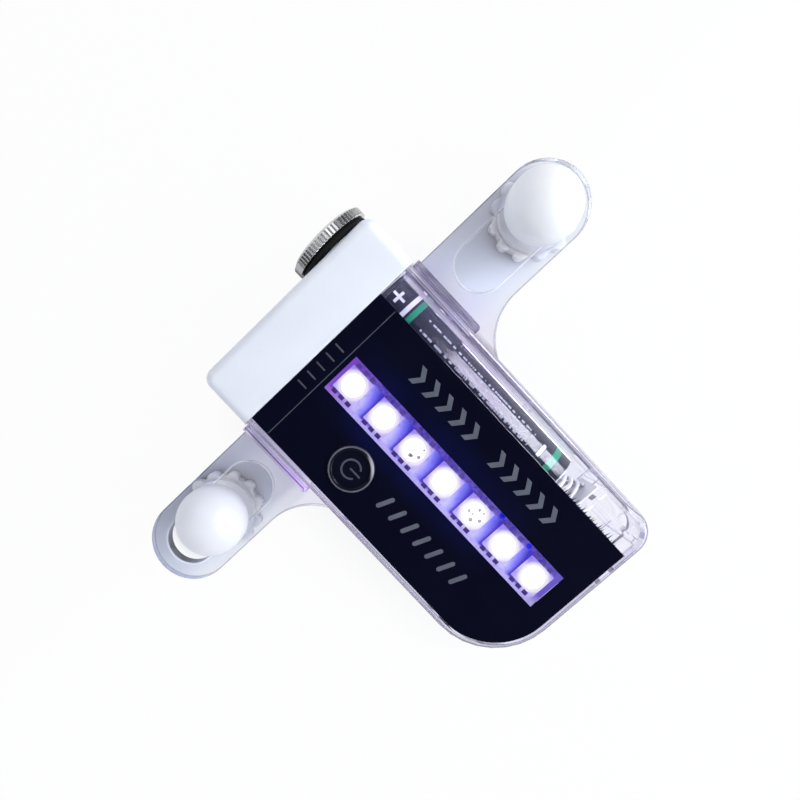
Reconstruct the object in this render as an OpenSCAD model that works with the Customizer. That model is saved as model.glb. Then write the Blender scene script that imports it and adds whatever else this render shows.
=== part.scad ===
// Spoke wheel light: a clear double-sided lamp case with two slotted wings and spoke clamps.
// It lies on its back: X runs along the wings, Y towards the screw cap, Z out of the front.

/* [Case] */
// Width of the clear case
body_w = 38.4; // [37.8:0.2:40]
// Length of the clear case below the end cap
body_len = 61.8; // [61:0.2:64]
// Thickness of the case from front to back
body_t = 17; // [17:0.1:17.6]
// Side wall of the case
wall = 1.3; // [1.1:0.05:1.4]
// Front and back walls of the case
face_wall = 1.5; // [1.4:0.05:1.6]
// Rounding of the front and back edges
edge_round = 0.9; // [0.6:0.1:1]
// Large lower corner on the button side
corner_big = 13; // [11:0.5:14]
// Small lower corner on the battery side
corner_small = 4.4; // [3.6:0.2:5]
// Height of the rear half up to the parting line
rear_t = 9.2; // [9.1:0.05:9.4]
// Thickness of the ribs inside the case
rib = 1; // [0.8:0.1:1.1]

/* [End cap] */
// Length of the white end cap
cap_len = 11.1; // [10.6:0.1:12]
// How far the end cap stands out past the sides of the case
cap_over = 0.7; // [0.4:0.1:1]
// Rounding of the end cap's edges
cap_round = 2.2; // [1.6:0.1:2.6]
// Depth of the end cap's tongue in the case
tongue_len = 3; // [2.4:0.2:3.2]

/* [Label and lamps] */
// Thickness of the labels
label_t = 0.25; // [0.15:0.05:0.3]
// Margin between the label and the outline of the case
label_margin = 1.3; // [1.1:0.1:1.8]
// Width of the lamp window
window_w = 7.5; // [7:0.1:8]
// Length of the lamp window
window_len = 51.9; // [51:0.1:53]
// Sideways place of the lamp row
lamp_x = -1.5; // [-2:0.1:-1]
// How far the middle of the lamp row lies above the middle of the case
lamp_mid = 0.15; // [-0.1:0.05:0.4]
// Number of lamps on each side
lamp_count = 7; // [5:1:7]
// Distance between lamps
lamp_pitch = 7.6; // [7.2:0.1:7.8]
// Width of a square lamp
lamp_w = 5; // [4.6:0.1:5]
// Height of a lamp
lamp_h = 1.6; // [1.4:0.1:1.6]
// Thickness of the boards
board_t = 1; // [0.8:0.1:1.2]

/* [Button] */
// Distance from the side of the case to the button
button_in = 7.7; // [7:0.1:8]
// Distance from the end cap to the button
button_y = 18.1; // [17:0.1:20]
// Diameter of the button
button_d = 8; // [7:0.1:8]
// Travel of the button
button_travel = 0.4; // [0.3:0.05:0.4]

/* [Battery] */
// Diameter of the battery cell
cell_d = 10.5; // [10.1:0.1:10.5]
// Length of the battery cell with its raised contact
cell_len = 44.5; // [44:0.1:44.5]
// Wire of the battery spring
spring_wire = 0.7; // [0.6:0.05:0.75]
// Turns of the battery spring
spring_turns = 4; // [3:0.5:4]
// Diameter of the screw cap's head
head_d = 15.6; // [15.2:0.1:16]
// Height of the screw cap's head
head_h = 2; // [1.8:0.1:2.6]
// Number of knurls on the screw cap
knurls = 64; // [48:4:72]
// Diameter of the screw cap's thread
thread_d = 11.8; // [11.6:0.1:12]
// Height of the sealing ring
seal_h = 1.4; // [1.2:0.1:1.6]

/* [Wings] */
// Distance from the middle of the case to the centre of the wing's round tip
wing_reach = 43.8; // [43:0.2:46]
// Width of the wings
wing_w = 15.4; // [15:0.2:16]
// Thickness of the wings
wing_t = 2.6; // [2.4:0.1:2.6]
// Distance from the end cap to the middle of the wings
wing_mid = 8; // [8:0.1:8.6]
// Width of the wing slots
slot_w = 9.2; // [9:0.1:9.6]
// Length of the wing slots
slot_len = 24.1; // [23:0.1:24.1]
// Fillet under the wing root
root_fillet = 11; // [9:0.5:12]
// How far the cheeks at the wing roots stand out
cheek_out = 1.5; // [1.2:0.1:1.5]

/* [Clamps] */
// Diameter of the spoke
spoke_d = 2; // [1.8:0.1:2]
// Diameter of the domed knobs
knob_d = 12.7; // [12:0.1:13]
// Height of the straight part of the knobs
knob_skirt = 2.8; // [2:0.1:3.5]
// Diameter of the knobs' split shank
shank_d = 8; // [7.8:0.1:8.2]
// Width of the split in the shank
split_w = 3; // [2.8:0.1:3]
// Diameter of the saddles
saddle_d = 13; // [12.6:0.1:13.4]
// Height of the saddles
saddle_h = 2.2; // [2:0.1:2.2]
// Diameter of the lobed nuts over the lobes
nut_d = 15.6; // [15:0.1:15.6]
// Gap between the lobed nuts and the plane of the back
nut_rise = 0.4; // [0.2:0.1:1]
// Number of lobes on a nut
lobes = 12; // [10:1:14]
// How far the left knob stands in from the outer end of its slot
left_knob_in = 6.2; // [0.2:0.1:14]
// How far the right knob stands in from the outer end of its slot
right_knob_in = 1.2; // [0.2:0.1:14]

/* [Clearances] */
// Gap between pieces that lie against each other
seam = 0.02; // [0.01:0.01:0.04]
// Gap around pieces let into the case
fit_gap = 0.06; // [0.04:0.01:0.1]
// Gap between turning threads
thread_gap = 0.08; // [0.05:0.01:0.1]
// Gap between a sliding neck and its slot
slide_gap = 0.1; // [0.08:0.01:0.15]
// Gap around the spoke in its groove
spoke_gap = 0.05; // [0.03:0.01:0.08]

/* [Hidden] */
$fn = 64;
over = 0.2;
hull_fn = 32;

// Levels through the thickness
front_t = body_t - rear_t - seam;
face_in = body_t - face_wall;
mid_z = body_t / 2;
lamp_gap = 0.2;
board_top = face_in - lamp_gap - lamp_h;
board_low = board_top - board_t;
post_h = board_low - (body_t - board_low);

// Battery bay
cell_gap = 0.35;
cell_x = body_w / 2 - wall - cell_gap - cell_d / 2;
cell_top = 0.4;
cell_low = cell_top - cell_len;
contact_h = 1;
contact_d = 3.8;
wrap_t = 0.2;
spring_h = 5.5;
plate_t = 0.4;
plate_w = 9.6;
floor_y = cell_low - spring_h - plate_t;
bay_wall_x = cell_x - cell_d / 2 - cell_gap - rib;
spring_big = 3.7;
spring_small = 2;
spring_sides = 8;
spring_steps = 20;
cradle_w = 1;

// Screw cap
head_low = cap_len + seal_h;
head_top = head_low + head_h;
knurl_depth = 0.3;
head_edge = 0.4;
rim_d = head_d - 2 * knurl_depth - 2 * seam;
thread_len = 6.2;
thread_low = head_low - thread_len;
cap_pin_d = 4;
insert_wall = 1.1;
insert_r = thread_d / 2 + thread_gap + insert_wall;
strap_t = 0.3;
strap_low = 1.3;
insert_low = strap_low + strap_t + seam;
seal_r = seal_h / 2 - seam;
seal_mid = thread_d / 2 + thread_gap + seal_r;

// Frame: the middle of the whole length lies at Y = 0
frame_y = (body_len - head_top) / 2;

// Boards
board_gap = 0.5;
board_right = bay_wall_x - board_gap;
board_head = tongue_len + board_gap;
board_inset = wall + board_gap;

// Small inner pieces
link_count = 4;
link_pitch = 2.54;
link_d = 0.8;
chip_size = [5, 4, 1.5];
chip_drop = 3;
switch_w = 5.2;
switch_h = 0.5;
plunger_d = 3;
motion_d = 4;
motion_len = 9;
motion_drop = 14;
strap_w = 1.5;
strap_reach = 3;
strap_foot = 5;
floor_rib_half = 3;
cradle_places = [0.25, 0.75];
cap_wall = 1.6;

// Lamps
lead_l = 0.6;
lead_w = 0.7;
lead_h = 0.25;
lead_pitch = 1.7;
lens_d = 4.1;
lens_h = 0.5;
lamp_y = body_len / 2 - lamp_mid;
lamp_right = lamp_x + lamp_w / 2 + seam + lead_l;

// Posts between the boards, clear of the lamps and of the battery straps
post_d = 1.4;
post_edge = 1.5;
post_end = 7;
post_gap = 0.7;
post_x = (lamp_right + board_right) / 2;
post_places = [
    [board_inset + post_edge - body_w / 2, -board_head - post_edge],
    [post_x, -board_head - strap_foot - post_gap - post_d / 2],
    [post_x, floor_y + strap_foot + post_gap + post_d / 2],
    [corner_big - body_w / 2 - post_edge, post_end - body_len]
];

// Label and button
label_right = cell_x;
button_x = button_in - body_w / 2;
button_ring = 0.6;
button_rise = 0.35;
flange_h = 0.4;
flange_d = button_d + 1.2;
flange_gap = 0.1;
flange_low = face_in - flange_h - flange_gap;

// Clamp levels
wing_low = rear_t - wing_t;
spoke_z = wing_low - spoke_d / 2;
saddle_low = spoke_z - saddle_h;
nut_top = saddle_low - seam;
nut_low = nut_rise;
nut_h = nut_top - nut_low;
knob_low = rear_t + seam;
neck_low = wing_low + slide_gap;
bar_gap = 0.1;
bar_end = 1;
lobe_r = 1.2;
lobe_rise = 0.85;
cheek_drop = 1.3;
slot_out = wing_reach;
slot_in = slot_out - slot_len + slot_w;
left_knob_x = left_knob_in - slot_out;
right_knob_x = slot_out - right_knob_in;

// Moves a piece from the case mouth frame to the part's frame
module placed() translate([0, frame_y, 0]) children();

// Turns an upright piece to lie along the battery's axis, starting at height y
module along_cell(y) translate([cell_x, y, mid_z]) rotate([-90, 0, 0]) children();

// Turns a front piece over to the back
module to_back() translate([0, 0, body_t]) mirror([0, 0, 1]) children();

// Waste outside a round corner
module corner_waste(r)
    difference() {
        translate([-over, -over]) square(r + over);
        translate([r, r]) circle(r);
    }

// Outline of the case, drawn in by a margin and open at the mouth
module case_outline(inset, mouth = 0)
    difference() {
        translate([inset - body_w / 2, inset - body_len])
            square([body_w - 2 * inset, body_len - inset + mouth]);
        translate([inset - body_w / 2, inset - body_len]) corner_waste(corner_big - inset);
        translate([body_w / 2 - inset, inset - body_len]) mirror([1, 0]) corner_waste(corner_small - inset);
    }

// Disc with a rounded upper rim
module puck(r, t)
    rotate_extrude($fn = hull_fn) {
        square([r, t - edge_round]);
        square([r - edge_round, t]);
        translate([r - edge_round, t - edge_round]) circle(edge_round, $fn = hull_fn);
    }

// Section of half a case at its mouth
module half_section(t) {
    translate([-body_w / 2, 0]) square([body_w, t - edge_round]);
    translate([edge_round - body_w / 2, 0]) square([body_w - 2 * edge_round, t]);
    for (side = [-1, 1])
        translate([side * (body_w / 2 - edge_round), t - edge_round]) circle(edge_round, $fn = hull_fn);
}

// Solid half of the case, parting line down
module half_case(t)
    hull() {
        rotate([90, 0, 0]) linear_extrude(seam) half_section(t);
        translate([corner_big - body_w / 2, corner_big - body_len, 0]) puck(corner_big, t);
        translate([body_w / 2 - corner_small, corner_small - body_len, 0]) puck(corner_small, t);
    }

// Half a case with its ribs, parting line down
module half_shell(t) {
    inside = t - face_wall;
    difference() {
        half_case(t);
        translate([0, 0, -over]) linear_extrude(inside + over) case_outline(wall, over);
        translate([0, 0, t - label_t]) linear_extrude(label_t + over) label_outline(fit_gap);
    }
    translate([bay_wall_x, wall / 2 - body_len, 0]) cube([rib, body_len - wall / 2, inside + over]);
    translate([bay_wall_x, floor_y - rib, 0])
        cube([body_w / 2 - bay_wall_x - wall / 2, rib, inside + over]);
    for (side = [-1, 1])
        translate([cell_x + side * floor_rib_half - rib / 2, wall / 2 - body_len, 0])
            cube([rib, floor_y + body_len - wall / 2 - rib / 2, inside + over]);
    pad_h = lamp_gap + lamp_h - seam;
    for (place = post_places)
        translate([place[0], place[1], inside - pad_h]) cylinder(d = post_d, h = pad_h + over);
}

// Cheek at a wing root
module cheek(h)
    linear_extrude(h)
        difference() {
            translate([body_w / 2 - wall / 2, -wing_mid - wing_w / 2])
                square([cheek_out + wall / 2, wing_w]);
            translate([body_w / 2 + cheek_out, -wing_mid - wing_w / 2])
                mirror([1, 0]) corner_waste(cheek_out / 2);
        }

// Long slot in a wing
module slot_outline() {
    translate([slot_in, -wing_mid]) circle(d = slot_w);
    translate([slot_out, -wing_mid]) circle(d = slot_w);
    translate([slot_in, -wing_mid - slot_w / 2]) square([slot_out - slot_in, slot_w]);
}

// Outline of a wing with its root fillet and slot
module wing_outline() {
    side = body_w / 2 - wall / 2;
    low = -wing_mid - wing_w / 2;
    difference() {
        union() {
            translate([wing_reach, -wing_mid]) circle(d = wing_w);
            translate([side, low]) square([wing_reach - side, wing_w]);
            difference() {
                translate([side, low - root_fillet]) square([root_fillet + wall / 2, root_fillet + over]);
                translate([body_w / 2 + root_fillet, low - root_fillet]) circle(root_fillet);
            }
        }
        slot_outline();
    }
}

// Outline of a label, grown by a gap for its recess
module label_outline(grow) {
    difference() {
        intersection() {
            case_outline(label_margin - grow);
            translate([-body_w, -body_len])
                square([body_w + label_right + grow, body_len - fit_gap + grow]);
        }
        window_outline(-grow);
    }
}

// Outline of the lamp window
module window_outline(grow)
    translate([lamp_x - window_w / 2 - grow, -lamp_y - window_len / 2 - grow])
        square([window_w + 2 * grow, window_len + 2 * grow]);

// Board with a rounded lower corner
module board()
    translate([0, 0, board_low])
        linear_extrude(board_t)
            intersection() {
                case_outline(board_inset);
                translate([-body_w, -body_len]) square([body_w + board_right, body_len - board_head]);
            }

// One child at each lamp
module at_lamps()
    for (i = [0 : lamp_count - 1])
        translate([lamp_x, (i - (lamp_count - 1) / 2) * lamp_pitch - lamp_y, board_top + seam])
            children();

module lamp_blocks()
    at_lamps()
        difference() {
            translate([-lamp_w / 2, -lamp_w / 2, 0]) cube([lamp_w, lamp_w, lamp_h]);
            translate([0, 0, lamp_h - lens_h]) cylinder(d = lens_d, h = lens_h + over);
        }

module lamp_lenses()
    at_lamps()
        translate([0, 0, lamp_h - lens_h + seam])
            cylinder(d = lens_d - 2 * seam, h = lens_h - 2 * seam);

module lamp_leads()
    at_lamps()
        for (side = [-1, 1], row = [-1, 0, 1])
            translate([side * (lamp_w / 2 + lead_l / 2 + seam), row * lead_pitch, 0])
                translate([-lead_l / 2, -lead_w / 2, 0]) cube([lead_l, lead_w, lead_h]);

module front_shell()
    color([0.86, 0.88, 0.95, 0.35])
        placed()
            difference() {
                translate([0, 0, rear_t + seam]) {
                    half_shell(front_t);
                    for (flip = [0, 1]) mirror([flip, 0, 0]) cheek(front_t - cheek_drop);
                }
                translate([button_x, -button_y, face_in - over])
                    cylinder(d = button_d + 2 * thread_gap, h = face_wall + 2 * over);
            }

module rear_shell()
    color([0.86, 0.88, 0.95, 0.35])
        placed()
            difference() {
                union() {
                    translate([0, 0, rear_t]) mirror([0, 0, 1]) half_shell(rear_t);
                    for (flip = [0, 1]) mirror([flip, 0, 0]) {
                        translate([0, 0, wing_low]) linear_extrude(wing_t) wing_outline();
                        translate([0, 0, cheek_drop]) cheek(rear_t - cheek_drop);
                    }
                    for (place = cradle_places)
                        translate([bay_wall_x, cell_low * place - cradle_w / 2, face_wall - over])
                            cube([body_w / 2 - wall / 2 - bay_wall_x, cradle_w, cell_d / 2]);
                }
                along_cell(cell_low) cylinder(d = cell_d + 2 * fit_gap, h = cell_len);
                translate([bay_wall_x - over, floor_y - fit_gap, body_t - board_low - fit_gap])
                    cube([rib + 2 * over, plate_t + 2 * fit_gap, rear_t]);
            }

module end_cap() {
    half = body_w / 2 + cap_over - cap_round;
    tongue_left = wall + fit_gap - body_w / 2;
    tongue_w = bay_wall_x - fit_gap - tongue_left;
    tongue_t = body_t - 2 * (face_wall + fit_gap);
    color([0.92, 0.93, 0.96])
        placed()
            difference() {
                union() {
                    hull()
                        for (x = [-half, half], z = [cap_round, body_t - cap_round]) {
                            translate([x, cap_len - cap_round, z]) sphere(cap_round, $fn = hull_fn);
                            translate([x, seam, z])
                                rotate([-90, 0, 0]) cylinder(r = cap_round, h = rib, $fn = hull_fn);
                        }
                    translate([tongue_left, -tongue_len, face_wall + fit_gap])
                        cube([tongue_w, tongue_len + rib, tongue_t]);
                }
                translate([tongue_left + rib, -tongue_len - over, face_wall + fit_gap + rib])
                    cube([tongue_w - 2 * rib, tongue_len + cap_len - cap_wall, tongue_t - 2 * rib]);
                translate([lamp_x - lamp_w / 2 - board_gap, -tongue_len - over, face_wall])
                    cube([lamp_w + 2 * board_gap, tongue_len + rib + over, body_t - 2 * face_wall]);
                along_cell(-over) cylinder(d = cell_d + 2 * cell_gap, h = cap_len);
                along_cell(strap_low - seam) cylinder(r = insert_r + seam, h = cap_len);
                translate([tongue_left + tongue_w - 2 * rib, -over, board_low - strap_w - strap_t - over])
                    cube([
                        cell_x - tongue_left - tongue_w,
                        insert_low + over,
                        strap_w + strap_t + 2 * over
                    ]);
            }
}

module cap_insert()
    color([0.8, 0.68, 0.38])
        placed()
            along_cell(insert_low)
                difference() {
                    cylinder(r = insert_r, h = cap_len - insert_low - seam);
                    translate([0, 0, -over]) cylinder(r = thread_d / 2 + thread_gap, h = cap_len);
                }

module front_label()
    color([0.03, 0.03, 0.04])
        placed()
            difference() {
                translate([0, 0, body_t - label_t]) linear_extrude(label_t) label_outline(0);
                translate([button_x, -button_y, face_in])
                    cylinder(d = button_d + 4 * thread_gap, h = body_t);
            }

module rear_label()
    color([0.03, 0.03, 0.04])
        placed() linear_extrude(label_t) label_outline(0);

module front_board() color([0.9, 0.9, 0.95]) placed() board();

module rear_board() color([0.9, 0.9, 0.95]) placed() to_back() board();

module front_leds() color([0.95, 0.95, 1]) placed() lamp_blocks();

module rear_leds() color([0.95, 0.95, 1]) placed() to_back() lamp_blocks();

module front_led_lenses() color([1, 1, 0.9]) placed() lamp_lenses();

module rear_led_lenses() color([1, 1, 0.9]) placed() to_back() lamp_lenses();

module front_led_leads() color([0.6, 0.6, 0.62]) placed() lamp_leads();

module rear_led_leads() color([0.6, 0.6, 0.62]) placed() to_back() lamp_leads();

module board_spacers()
    color([0.2, 0.2, 0.22])
        placed()
            for (place = post_places)
                translate([place[0], place[1], body_t - board_low + seam])
                    cylinder(d = post_d, h = post_h - 2 * seam);

module board_links()
    color([0.75, 0.7, 0.5])
        placed()
            for (i = [0 : link_count - 1])
                translate([post_places[0][0], -lamp_y - i * link_pitch, body_t - board_low + seam])
                    cylinder(d = link_d, h = post_h - 2 * seam);

module control_chip()
    color([0.08, 0.08, 0.09])
        placed()
            translate([button_x, -lamp_y - chip_drop, board_low - chip_size[2] - seam]) cube(chip_size);

module button_switch()
    color([0.15, 0.15, 0.16])
        placed()
            translate([button_x, -button_y, board_top + seam]) {
                translate([-switch_w / 2, -switch_w / 2, 0]) cube([switch_w, switch_w, switch_h]);
                cylinder(d = plunger_d, h = flange_low - button_travel - board_top - 2 * seam);
            }

module motion_switch()
    color([0.7, 0.65, 0.45])
        placed()
            translate([button_x + motion_d / 2, -lamp_y - motion_drop, body_t - board_low + seam])
                translate([0, 0, motion_d / 2]) rotate([-90, 0, 0]) cylinder(d = motion_d, h = motion_len);

module battery_can()
    color([0.75, 0.76, 0.78])
        placed()
            along_cell(cell_low) {
                cylinder(d = cell_d - 2 * wrap_t - 2 * seam, h = cell_len - contact_h);
                cylinder(d = contact_d, h = cell_len);
            }

module battery_sleeve()
    color([0.12, 0.14, 0.2])
        placed()
            along_cell(cell_low + wrap_t)
                difference() {
                    cylinder(d = cell_d, h = cell_len - contact_h - 2 * wrap_t);
                    translate([0, 0, -over]) cylinder(d = cell_d - 2 * wrap_t, h = cell_len);
                }

// Centre of the spring's wire at a share of its length
function spring_r(s) = spring_big + (spring_small - spring_big) * s;
function spring_z(s) = spring_wire / 2 + seam + (spring_h - spring_wire - 2 * seam) * s;
function spring_point(s, side) =
    let (turn = 360 * spring_turns * s, roll = 360 * side / spring_sides)
    let (r = spring_r(s) + spring_wire / 2 * cos(roll))
    [r * cos(turn), r * sin(turn), spring_z(s) + spring_wire / 2 * sin(roll)];
spring_rise = (spring_h - spring_wire - 2 * seam) / spring_turns;
spring_step_in = (spring_big - spring_small) / spring_turns;
spring_self_gap = sqrt(spring_rise * spring_rise + spring_step_in * spring_step_in) - spring_wire;
echo(spring_self_gap = spring_self_gap);

module battery_spring() {
    rings = round(spring_turns * spring_steps);
    last = rings * spring_sides;
    points = [for (i = [0 : rings], k = [0 : spring_sides - 1]) spring_point(i / rings, k)];
    walls = [
        for (i = [0 : rings - 1], k = [0 : spring_sides - 1], half = [0, 1])
            let (a = i * spring_sides + k, b = i * spring_sides + (k + 1) % spring_sides)
            half == 0 ? [a, b, a + spring_sides] : [b, b + spring_sides, a + spring_sides]
    ];
    ends = [
        [for (k = [spring_sides - 1 : -1 : 0]) k],
        [for (k = [0 : spring_sides - 1]) last + k]
    ];
    color([0.8, 0.81, 0.83])
        placed()
            along_cell(floor_y + plate_t) polyhedron(points, concat(walls, ends));
}

module negative_contact()
    color([0.8, 0.81, 0.83])
        placed() {
            rear_top = body_t - board_low + seam;
            translate([cell_x - plate_w / 2, floor_y + seam, mid_z - plate_w / 2])
                cube([plate_w, plate_t - seam, plate_w]);
            foot_x = board_right - strap_reach;
            translate([foot_x, floor_y + seam, rear_top]) cube([cell_x - foot_x, plate_t - seam, strap_w]);
            translate([foot_x, floor_y + seam, rear_top]) cube([strap_w, strap_foot, strap_t]);
        }

module positive_strap()
    color([0.8, 0.81, 0.83])
        placed() {
            leg_x = board_right - strap_reach;
            leg_z = board_low - strap_t - seam;
            along_cell(strap_low)
                difference() {
                    cylinder(r = insert_r - seam, h = strap_t);
                    translate([0, 0, -over]) cylinder(d = cell_d + 2 * cell_gap, h = strap_t + 2 * over);
                }
            translate([leg_x, strap_low, leg_z - strap_w])
                cube([cell_x - cell_d / 2 - leg_x, strap_t, strap_w + strap_t]);
            translate([leg_x, -board_head - strap_foot, leg_z])
                cube([strap_w, board_head + strap_foot + strap_low + strap_t, strap_t]);
        }

// Round outline with straight knurls
module knurl_outline()
    polygon([
        for (i = [0 : 2 * knurls - 1])
            let (r = head_d / 2 - (i % 2) * knurl_depth)
            [r * cos(180 * i / knurls), r * sin(180 * i / knurls)]
    ]);

module battery_cap()
    color([0.78, 0.77, 0.74])
        placed() {
            along_cell(head_low) linear_extrude(head_h - head_edge) knurl_outline();
            along_cell(head_top - head_edge)
                cylinder(d1 = rim_d, d2 = rim_d - 2 * head_edge, h = head_edge);
            along_cell(thread_low) cylinder(d = thread_d, h = head_low - thread_low + over);
            along_cell(cell_top + seam) cylinder(d = cap_pin_d, h = thread_low - cell_top);
        }

module cap_seal()
    color([0.03, 0.03, 0.03])
        placed()
            along_cell(cap_len + seal_h / 2)
                rotate_extrude() translate([seal_mid, 0]) circle(seal_r);

module power_button()
    color([0.04, 0.04, 0.05])
        placed()
            translate([button_x, -button_y, 0]) {
                translate([0, 0, flange_low]) cylinder(d = flange_d, h = flange_h);
                translate([0, 0, flange_low]) cylinder(d = button_d, h = body_t - flange_low);
                translate([0, 0, body_t - over])
                    difference() {
                        cylinder(d = button_d, h = button_rise + over);
                        translate([0, 0, -over]) cylinder(d = button_d - 2 * button_ring, h = 2);
                    }
            }

// Domed knob with its split shank
module knob(x)
    placed()
        translate([x, -wing_mid, 0])
            difference() {
                union() {
                    translate([0, 0, knob_low])
                        rotate_extrude() {
                            square([knob_d / 2, knob_skirt]);
                            intersection() {
                                translate([0, knob_skirt]) circle(d = knob_d);
                                translate([0, knob_skirt - over]) square(knob_d);
                            }
                        }
                    translate([0, 0, neck_low])
                        cylinder(d = slot_w - 2 * slide_gap, h = knob_low - neck_low + over);
                    translate([0, 0, nut_low]) cylinder(d = shank_d, h = neck_low - nut_low + over);
                }
                translate([-split_w / 2, -shank_d, nut_low - over])
                    cube([split_w, 2 * shank_d, neck_low - nut_low + over]);
            }

// Saddle with a half-round groove for the spoke and a bar through the split shank
module saddle(x)
    placed()
        translate([x, -wing_mid, saddle_low])
            difference() {
                union() {
                    difference() {
                        cylinder(d = saddle_d, h = saddle_h);
                        translate([0, 0, -over])
                            cylinder(d = shank_d + 2 * thread_gap, h = saddle_h + 2 * over);
                    }
                    translate([bar_gap - split_w / 2, bar_end - saddle_d / 2, 0])
                        cube([split_w - 2 * bar_gap, saddle_d - 2 * bar_end, saddle_h]);
                }
                translate([0, saddle_d, saddle_h])
                    rotate([90, 0, 0]) cylinder(r = spoke_d / 2 + spoke_gap, h = 2 * saddle_d);
            }

// Round hand nut with lobes
module lobed_nut(x)
    placed()
        translate([x, -wing_mid, nut_low])
            linear_extrude(nut_h)
                difference() {
                    union() {
                        circle(d = nut_d - 2 * lobe_rise);
                        for (i = [0 : lobes - 1])
                            rotate(360 * i / lobes) translate([nut_d / 2 - lobe_r, 0]) circle(lobe_r);
                    }
                    circle(d = shank_d + 2 * thread_gap);
                }

module left_knob() color([0.93, 0.94, 0.97]) knob(left_knob_x);

module left_saddle() color([0.88, 0.89, 0.91]) saddle(left_knob_x);

module left_nut() color([0.93, 0.94, 0.97]) lobed_nut(left_knob_x);

module right_knob() color([0.93, 0.94, 0.97]) knob(right_knob_x);

module right_saddle() color([0.88, 0.89, 0.91]) saddle(right_knob_x);

module right_nut() color([0.93, 0.94, 0.97]) lobed_nut(right_knob_x);

front_shell();
rear_shell();
end_cap();
cap_insert();
front_label();
rear_label();
front_board();
rear_board();
front_leds();
rear_leds();
front_led_lenses();
rear_led_lenses();
front_led_leads();
rear_led_leads();
board_spacers();
board_links();
control_chip();
button_switch();
motion_switch();
battery_can();
battery_sleeve();
battery_spring();
negative_contact();
positive_strap();
battery_cap();
cap_seal();
power_button();
left_knob();
left_saddle();
left_nut();
right_knob();
right_saddle();
right_nut();
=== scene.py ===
"""Looks of the spoke wheel light: materials, prints, spring, studio and camera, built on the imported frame."""

import math

import bpy
from mathutils import Matrix, Vector


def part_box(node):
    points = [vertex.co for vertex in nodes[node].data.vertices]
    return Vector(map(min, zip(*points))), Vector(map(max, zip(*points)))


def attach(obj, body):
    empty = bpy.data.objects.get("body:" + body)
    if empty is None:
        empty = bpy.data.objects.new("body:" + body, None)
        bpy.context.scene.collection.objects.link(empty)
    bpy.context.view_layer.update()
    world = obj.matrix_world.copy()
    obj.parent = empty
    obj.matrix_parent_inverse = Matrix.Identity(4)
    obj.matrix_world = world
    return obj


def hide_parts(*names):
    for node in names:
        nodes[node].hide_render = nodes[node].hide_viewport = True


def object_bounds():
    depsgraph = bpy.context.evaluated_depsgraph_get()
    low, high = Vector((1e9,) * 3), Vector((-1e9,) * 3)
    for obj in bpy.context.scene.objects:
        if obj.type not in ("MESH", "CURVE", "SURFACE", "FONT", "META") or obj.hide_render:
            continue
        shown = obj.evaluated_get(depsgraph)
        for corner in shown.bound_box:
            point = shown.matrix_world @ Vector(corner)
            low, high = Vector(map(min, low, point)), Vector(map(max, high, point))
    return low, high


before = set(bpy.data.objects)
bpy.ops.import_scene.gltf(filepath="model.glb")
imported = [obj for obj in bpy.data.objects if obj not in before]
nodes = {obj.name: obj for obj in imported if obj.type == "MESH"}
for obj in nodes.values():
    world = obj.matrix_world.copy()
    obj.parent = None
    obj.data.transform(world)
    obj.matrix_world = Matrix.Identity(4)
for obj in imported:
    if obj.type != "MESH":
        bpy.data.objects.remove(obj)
cad_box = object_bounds()
scene = bpy.context.scene

MM = 0.001
BLACK = (0.0, 0.0, 0.0)
BLUE_BLACK = ((0.0016, 0.0022, 0.0095), (0.0036, 0.0044, 0.0145))


def box_mm(node):
    """A node's lowest and highest corners in millimetres."""
    low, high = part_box(node)
    return low / MM, high / MM


# Places that the looks share, in millimetres, read from the frame
case_low, case_high = box_mm("front_shell")
wing_low, wing_high = box_mm("rear_shell")
label_low, label_high = box_mm("front_label")
face_z = label_high.z
button_low, button_high = box_mm("power_button")
button_x = (button_low.x + button_high.x) / 2
button_y = (button_low.y + button_high.y) / 2
lamps_low, lamps_high = box_mm("front_leds")
lamp_x = (lamps_low.x + lamps_high.x) / 2
lamp_mid = (lamps_low.y + lamps_high.y) / 2
lamp_count = 7
lamp_w = lamps_high.x - lamps_low.x
lamp_pitch = (lamps_high.y - lamps_low.y - lamp_w) / (lamp_count - 1)
sleeve_low, sleeve_high = box_mm("battery_sleeve")
cell_x = (sleeve_low.x + sleeve_high.x) / 2
cell_z = (sleeve_low.z + sleeve_high.z) / 2
cell_r = (sleeve_high.x - sleeve_low.x) / 2
knob_low, knob_high = box_mm("left_knob")
slot_y = (knob_low.y + knob_high.y) / 2

# The slots in the wings: middle and half length of the straight run, measured outwards, and the radius
slot_mid, slot_half, slot_r = 36.35, 7.45, 4.6


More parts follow.
